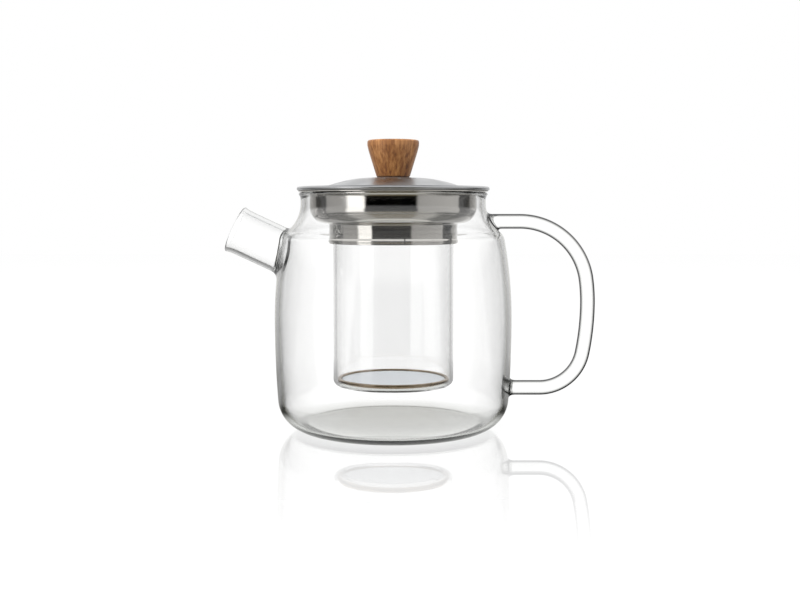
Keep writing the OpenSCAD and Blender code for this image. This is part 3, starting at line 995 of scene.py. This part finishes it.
def make_lid():
    curl_x, curl_z = LID_R - CURL_R, LID_BASE_Z + CURL_R
    under = BRIM_Z - LID_T
    foot_angle, brim_start = DOME_ANGLE + 2, DOME_R + 2.2
    foot = math.radians(foot_angle)
    top = (DOME_FLAT_R + DOME_ARC_R * math.cos(foot), DOME_ARC_Z + DOME_ARC_R * math.sin(foot))
    low_r = DOME_ARC_R - LID_T
    low = (DOME_FLAT_R + low_r * math.cos(foot), DOME_ARC_Z + low_r * math.sin(foot))
    outer = joined(
        [(0, DOME_TOP_Z), (DOME_FLAT_R / 2, DOME_TOP_Z)],
        arc(DOME_FLAT_R, DOME_ARC_Z, DOME_ARC_R, 90, foot_angle, 20),
        profile_curve(top, (DOME_R, BRIM_Z), (brim_start, BRIM_Z), 8),
        arc(curl_x, curl_z, CURL_R, 90, -180, 28),
    )
    inner = joined(
        [(curl_x - CURL_R, under)],
        profile_curve((brim_start, under), (DOME_R, under), low, 8),
        arc(DOME_FLAT_R, DOME_ARC_Z, low_r, foot_angle, 90, 20),
        [(DOME_FLAT_R / 2, DOME_TOP_Z - LID_T), (0, DOME_TOP_Z - LID_T)],
    )
    edge = [(curl_x - CURL_R, curl_z), (curl_x - CURL_R, under)]
    axis = Vector((0, 0, 1))
    cutters = [cylinder("screw_hole", SCREW_R + 0.2, 4, Matrix.Translation((0, 0, DOME_TOP_Z - 2)), 48)]
    holes = [(Vector((0, 0, 0)), axis)]
    for i in (-1, 0, 1):
        t = math.radians(VENT_TURN + VENT_STEP * i)
        at = Vector((VENT_RADIUS * math.sin(t), -VENT_RADIUS * math.cos(t), BRIM_Z))
        cutters.append(cylinder("vent", VENT_R, 8, Matrix.Translation(at), 48))
        holes.append((at, axis))
    obj = turned("lid_shell", [outer, edge, inner], 320, cutters, holes)
    place(obj, lid_steel, "lid", ["lid"])


def make_lid_ring():
    top, low = BRIM_Z - LID_T - 0.01, BRIM_Z - LID_T - LID_RING_H
    fold, edge = 0.9, LID_T / 2
    inner = LID_RING_R - LID_T
    flange = LID_RING_R - LID_RING_FLANGE
    chain = joined(
        arc(inner + edge, low + edge, edge, 180, 360, 10),
        arc(LID_RING_R - fold, top - fold, fold, 0, 90, 8),
        arc(flange + edge, top - edge, edge, 90, 270, 8),
        arc(LID_RING_R - fold, top - fold, fold - LID_T, 90, 0, 6),
    )
    obj = turned("lid_locator", [chain], 256)
    place(obj, lid_steel, "lid", ["lid_ring"])


def make_knob():
    band_z = KNOB_H - KNOB_BAND_H
    outer = joined(
        [(KNOB_FOOT_R, 0.35)],
        profile_curve(
            (KNOB_FOOT_R + 0.75 * (KNOB_R - 0.2 - KNOB_FOOT_R), 0.3 + 0.75 * (band_z - 0.3)),
            (KNOB_R - 0.2, band_z),
            (KNOB_R, band_z + 1.4),
            8,
        ),
        arc(KNOB_R - KNOB_EDGE_R, KNOB_H - KNOB_EDGE_R, KNOB_EDGE_R, 0, 90, 10),
        [(KNOB_R / 2, KNOB_H), (0, KNOB_H)],
    )
    chains = straight(
        (0, INSERT_LEN), (INSERT_R, INSERT_LEN), (INSERT_R, 0), (KNOB_FOOT_R - 0.3, 0), (KNOB_FOOT_R, 0.35)
    )
    chains.append(outer)
    chains = [[(r, z + KNOB_Z) for r, z in chain] for chain in chains]
    obj = turned("lid_knob", chains, 192)
    place(obj, beech, "lid", ["knob"])


def make_ring(name, inner, outer, low, high, mat, node_name):
    """A washer or bush with rounded edges, on the lid's body."""
    edge = min((high - low) / 3, 0.2)
    chain = joined(
        arc(outer - edge, low + edge, edge, -90, 0, 5),
        arc(outer - edge, high - edge, edge, 0, 90, 5),
        arc(inner + edge, high - edge, edge, 90, 180, 5),
        arc(inner + edge, low + edge, edge, 180, 270, 5),
    )
    obj = turned(name, [chain], 128)
    place(obj, mat, "lid", [node_name])


def make_screw():
    """The screw, with a cross slot and turned grooves for a thread."""
    top = KNOB_Z + INSERT_LEN - 0.5
    shank, lead = SCREW_R - 0.02, 0.7
    pitch, depth, turns_start = 0.7, 0.3, WASHER_Z + 1.6
    groove_r, rest = shank - depth, 0.05
    rings = [(0, HEAD_Z), (HEAD_R - 1, HEAD_Z)]
    head = [joined(rings, arc(HEAD_R - 1, HEAD_Z + 1, 1, -90, 0, 8), [(HEAD_R, WASHER_Z)])]
    neck = straight((HEAD_R, WASHER_Z), (shank - 0.15, WASHER_Z), (shank - 0.15, turns_start))
    thread = []
    z = turns_start
    while z + pitch < top - lead:
        thread += straight((groove_r, z + rest), (shank, z + pitch / 2), (groove_r, z + pitch - rest))
        if z + 2 * pitch < top - lead:
            thread += [[(groove_r, z + pitch - rest), (groove_r, z + pitch + rest)]]
        z += pitch
    join = [[(shank - 0.15, turns_start), thread[0][0]]]
    tip = straight(thread[-1][-1], (shank - 0.6, top), (0, top))
    slots = []
    for turn in (0, 90):
        spin = Matrix.Rotation(math.radians(turn), 4, "Z")
        slots.append(block("slot", (-2, -0.45, HEAD_Z - 1), (2, 0.45, HEAD_Z + 1.2), spin))
    outline = joined(*(head + neck + join + thread + tip))
    obj = new_object("knob_bolt", lathe_mesh("knob_bolt", outline, 96))
    cut(obj, slots)
    smooth_by_angle(obj, 35)
    place(obj, screw_steel, "lid", ["knob_screw"])


make_body()
make_spout()
make_handle()
make_collar()
make_gasket()
make_tube()
make_mesh_ring()
make_mesh()
make_lid()
make_lid_ring()
make_knob()
make_ring(
    "knob_washer", SCREW_R + 0.2, SEAL_R, DOME_TOP_Z + 0.01, KNOB_Z - 0.01,
    dark_silicone, "knob_seal",
)
make_ring(
    "knob_bush", SCREW_R, INSERT_R - 0.01, KNOB_Z, KNOB_Z + INSERT_LEN - 0.01,
    insert_brass, "knob_insert",
)
make_ring(
    "bolt_washer", SCREW_R + 0.2, WASHER_R, WASHER_Z + 0.01, WASHER_Z + WASHER_T - 0.01,
    screw_steel, "screw_washer",
)
make_screw()


# ---- Stage ----

# White where it is seen through glass, brighter to make up for what the glass reflects away
SEEN_THROUGH = (1.17, 1.17, 1.17, 1)
# Painted shade: the floor under the pot, grey-olive where it is seen through glass
PAINTED_SHADE_UNDER_POT = (0.80, 0.81, 0.775, 1)

FLOOR_HALF, FLOOR_DROP = 2.0, 0.00005
FLOOR_SHADE, FLOOR_GLOW, FLOOR_IOR, FLOOR_ROUGHNESS = 0.12, 0.87, 2.6, 0.02

# Tones that reflections meet round the pot, from (angle from the front in degrees, tone) pairs
STUDIO_GAIN = 1.8
STUDIO = [
    (-180, 0.56),
    (-162, 0.56),
    (-150, 0.36),
    (-128, 0.2),
    (-124, 0.03),
    (-102, 0.03),
    (-98, 0.24),
    (-66, 0.26),
    (-61, 1.0),
    (-39, 1.0),
    (-36, 0.0),
    (30, 0.0),
    (34, 0.26),
    (96, 0.34),
    (100, 0.03),
    (122, 0.03),
    (126, 0.2),
    (150, 0.4),
    (162, 0.56),
    (180, 0.56),
]
# Painted reflection: dark and grey colours that the near floor shows only in reflections, by the share of a
# half turn from the front to the back
NEAR_FLOOR_PAINTED_REFLECTION = [
    (0.16, (0.17, 0.145, 0.09)),
    (0.20, (0.40, 0.39, 0.37)),
    (0.32, (0.46, 0.46, 0.45)),
    (0.41, (0.05, 0.05, 0.045)),
    (0.60, (0.05, 0.05, 0.045)),
    (0.70, (0.4, 0.4, 0.4)),
]


def turn_share(degrees):
    """An angle from -180 to 180 as a share from 0 to 1."""
    return degrees / 360 + 0.5


def by_turn(tree, share, stops):
    """A tone for each angle from the front, from (angle in degrees, tone) pairs."""
    return ramp(tree, share, [(turn_share(degrees), tone) for degrees, tone in stops])


def blended(tree, fac, low, high):
    """The low colour where fac is 0 and the high one where it is 1."""
    return node(tree, "ShaderNodeMix", {0: fac, 6: low, 7: high}, data_type="RGBA").outputs[2]


def multiplied(tree, color, other):
    """Two colours or values multiplied."""
    mix = node(
        tree, "ShaderNodeMix", {0: 1.0, 6: color, 7: other}, data_type="RGBA", blend_type="MULTIPLY"
    )
    return mix.outputs[2]


def compared(tree, value, operation, limit):
    """1 where the comparison holds and 0 elsewhere."""
    return node(tree, "ShaderNodeMath", {0: value, 1: limit}, operation=operation).outputs[0]


def surroundings(tree, split):
    """What reflections show round the pot, by the angle from the front, and that angle.

    There are grey walls, a strip light, a dark front, two dark flags and a white back."""
    front = node(tree, "ShaderNodeMath", {0: split.outputs[1], 1: -1.0}, operation="MULTIPLY")
    angle = node(tree, "ShaderNodeMath", {0: split.outputs[0], 1: front.outputs[0]}, operation="ARCTAN2")
    share = node(
        tree, "ShaderNodeMapRange", {0: angle.outputs[0], 1: -math.pi, 2: math.pi, 3: 0.0, 4: 1.0}
    ).outputs[0]
    around = by_turn(tree, share, STUDIO)
    reflected = multiplied(tree, around, (STUDIO_GAIN, STUDIO_GAIN, STUDIO_GAIN, 1))
    return reflected, angle.outputs[0]


def ray_kind(tree):
    """Whether a ray has been reflected, and whether it has gone through glass."""
    path = node(tree, "ShaderNodeLightPath")
    reflected = compared(tree, path.outputs["Glossy Depth"], "GREATER_THAN", 0.5)
    bent = compared(tree, path.outputs["Transmission Depth"], "GREATER_THAN", 0.5)
    return reflected, bent


def floor_look(tree, out):
    """White acrylic that mirrors what stands on it; to reflected rays and rays through glass it glows with
    painted tones instead: the surroundings' tones, a painted reflection near the pot and painted shade
    under it.
    """
    coords = node(tree, "ShaderNodeTexCoord")
    split = node(tree, "ShaderNodeSeparateXYZ", {0: coords.outputs["Object"]})
    radius = node(
        tree, "ShaderNodeVectorMath", {0: coords.outputs["Object"]}, operation="LENGTH"
    ).outputs["Value"]
    far, angle = surroundings(tree, split)

    diffuse = node(tree, "ShaderNodeBsdfDiffuse", {"Color": (FLOOR_SHADE, FLOOR_SHADE, FLOOR_SHADE, 1)})
    glow = node(tree, "ShaderNodeEmission", {"Color": (1, 1, 1, 1), "Strength": FLOOR_GLOW})
    white = node(tree, "ShaderNodeAddShader", {0: diffuse.outputs[0], 1: glow.outputs[0]})
    mirror = node(
        tree, "ShaderNodeBsdfGlossy", {"Color": (1, 1, 1, 1), "Roughness": FLOOR_ROUGHNESS}
    )
    near_pot = ramp(tree, radius, [(0.042, 0.4), (0.06, 1.0), (0.09, 1.0), (0.15, 0.7), (0.21, 0.0)])
    sheen = node(tree, "ShaderNodeFresnel", {"IOR": FLOOR_IOR})
    amount = multiplied(tree, near_pot, sheen.outputs[0])
    acrylic = node(
        tree, "ShaderNodeMixShader", {0: amount, 1: white.outputs[0], 2: mirror.outputs[0]}
    )

    aside = node(tree, "ShaderNodeMath", {0: angle}, operation="ABSOLUTE").outputs[0]
    aside_share = node(tree, "ShaderNodeMath", {0: aside, 1: math.pi}, operation="DIVIDE").outputs[0]
    # Painted reflection tones of the near floor
    near = ramp(tree, aside_share, NEAR_FLOOR_PAINTED_REFLECTION)
    # Painted shade: the floor under the pot is grey in reflections
    under = ramp(tree, radius, [(0.052, 0.0), (0.064, 1.0)])
    near = blended(tree, under, (0.75, 0.76, 0.74, 1), near)
    away = node(tree, "ShaderNodeMapRange", {0: radius, 1: 0.16, 2: 0.26, 3: 0.0, 4: 1.0}).outputs[0]
    reflected = blended(tree, away, near, far)
    # Painted shade under the pot, for rays that come through glass
    beyond = ramp(tree, radius, [(0.03, 0.0), (0.07, 1.0)])
    through = blended(tree, beyond, PAINTED_SHADE_UNDER_POT, SEEN_THROUGH)

    is_reflected, is_bent = ray_kind(tree)
    # The floor glows with these painted tones for reflected rays and rays through glass
    painted_floor_tones = node(tree, "ShaderNodeEmission", {"Color": blended(tree, is_reflected, through, reflected)})
    indirect = node(tree, "ShaderNodeMath", {0: is_reflected, 1: is_bent}, operation="MAXIMUM")
    mix = node(
        tree, "ShaderNodeMixShader", {0: indirect.outputs[0], 1: acrylic.outputs[0], 2: painted_floor_tones.outputs[0]}
    )
    tree.links.new(mix.outputs[0], out.inputs["Surface"])


def make_floor():
    mesh = bpy.data.meshes.new("floor")
    s = FLOOR_HALF
    mesh.from_pydata([(-s, -s, 0), (s, -s, 0), (s, s, 0), (-s, s, 0)], [], [(0, 1, 2, 3)])
    floor = new_object("floor", mesh)
    floor.location.z = -FLOOR_DROP
    floor.data.materials.append(material("floor", floor_look))


def make_world():
    """White all round, brighter through glass, and a studio with a darker ceiling for reflections."""
    world = bpy.data.worlds.new("studio")
    bpy.context.scene.world = world
    world.use_nodes = True
    tree = world.node_tree
    tree.nodes.clear()
    out = node(tree, "ShaderNodeOutputWorld")
    coords = node(tree, "ShaderNodeTexCoord")
    split = node(tree, "ShaderNodeSeparateXYZ", {0: coords.outputs["Generated"]})
    height = split.outputs[2]
    ring, _ = surroundings(tree, split)
    above = ramp(tree, height, [(0.11, 0.0), (0.19, 1.0)])
    sky = ramp(tree, height, [(0.60, 1.0), (0.80, (0.66, 0.68, 0.70)), (0.92, (0.3, 0.3, 0.3))])
    studio = blended(tree, above, ring, sky)
    is_reflected, is_bent = ray_kind(tree)
    direct = blended(tree, is_bent, (1, 1, 1, 1), SEEN_THROUGH)
    seen = blended(tree, is_reflected, direct, studio)
    back = node(tree, "ShaderNodeBackground", {"Color": seen, "Strength": 1.0})
    tree.links.new(back.outputs[0], out.inputs["Surface"])


def make_light(name, at, look_at, size, power):
    """A round area lamp that camera, reflections and glass don't see."""
    lamp = bpy.data.lights.new(name, "AREA")
    lamp.shape = "DISK"
    lamp.size = size
    lamp.energy = power
    obj = new_object(name, lamp)
    obj.location = at
    aim = Vector(look_at) - Vector(at)
    obj.rotation_euler = aim.to_track_quat("-Z", "Y").to_euler()
    obj.visible_camera = False
    obj.visible_glossy = False
    obj.visible_transmission = False


def make_camera():
    """A camera in front of the spout's and handle's plane, tilted slightly down."""
    tilt = 4.69
    camera = new_object("camera", bpy.data.cameras.new("camera"))
    camera.data.lens = 50.0
    camera.data.sensor_width = 36.0
    camera.location = (0.0031, -0.511, 0.1015)
    camera.rotation_euler = (math.radians(90 - tilt), 0, 0)
    camera.data.clip_start = 0.01
    bpy.context.scene.camera = camera


make_floor()
make_world()
make_light("key", (-0.55, -0.45, 0.75), (0, 0, 0.06), 0.5, 6.0)
make_light("top", (0.05, 0.1, 1.1), (0, 0, 0), 0.9, 5.0)
make_camera()

scene = bpy.context.scene
scene.view_settings.view_transform = "Standard"
scene.cycles.use_denoising = True
scene.cycles.max_bounces = 24
scene.cycles.transmission_bounces = 24
scene.cycles.glossy_bounces = 12
scene.cycles.transparent_max_bounces = 24
scene.cycles.caustics_reflective = False
scene.cycles.caustics_refractive = False
